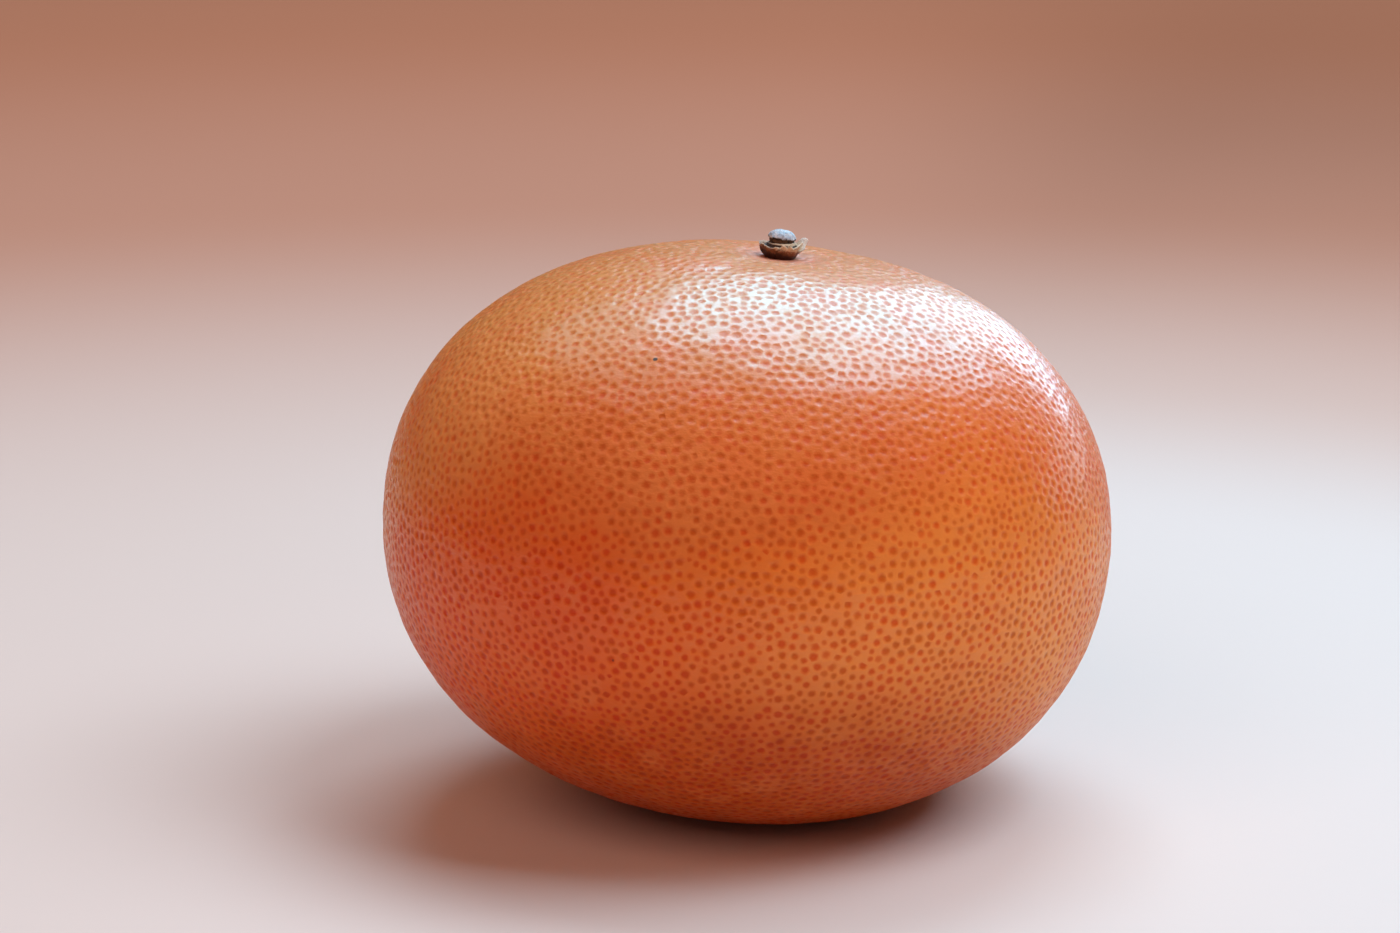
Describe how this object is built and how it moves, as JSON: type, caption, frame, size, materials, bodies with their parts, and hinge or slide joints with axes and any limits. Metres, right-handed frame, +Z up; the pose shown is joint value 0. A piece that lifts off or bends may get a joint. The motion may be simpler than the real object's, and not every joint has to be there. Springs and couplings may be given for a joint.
{
  "type": "whole grapefruit",
  "caption": "Whole grapefruit as picked, slightly flattened at both ends, resting on its blossom end with its dried calyx and stem stub on top.",
  "frame": {"origin": "on the flat spot that the fruit rests on, straight below the middle of the fruit", "axes": "+Z up from the surface it rests on, +X the way its stem end leans, across its width, +Y across its depth"},
  "size_m": [0.1103, 0.108, 0.0875],
  "materials": {
    "rind": "waxy, satin",
    "calyx": "dry, matte",
    "stem_stub": "weathered, matte"
  },
  "bodies": {
    "root": {"fruit": "rind", "calyx": "calyx", "stem_stub": "stem_stub"}
  },
  "joints": []
}
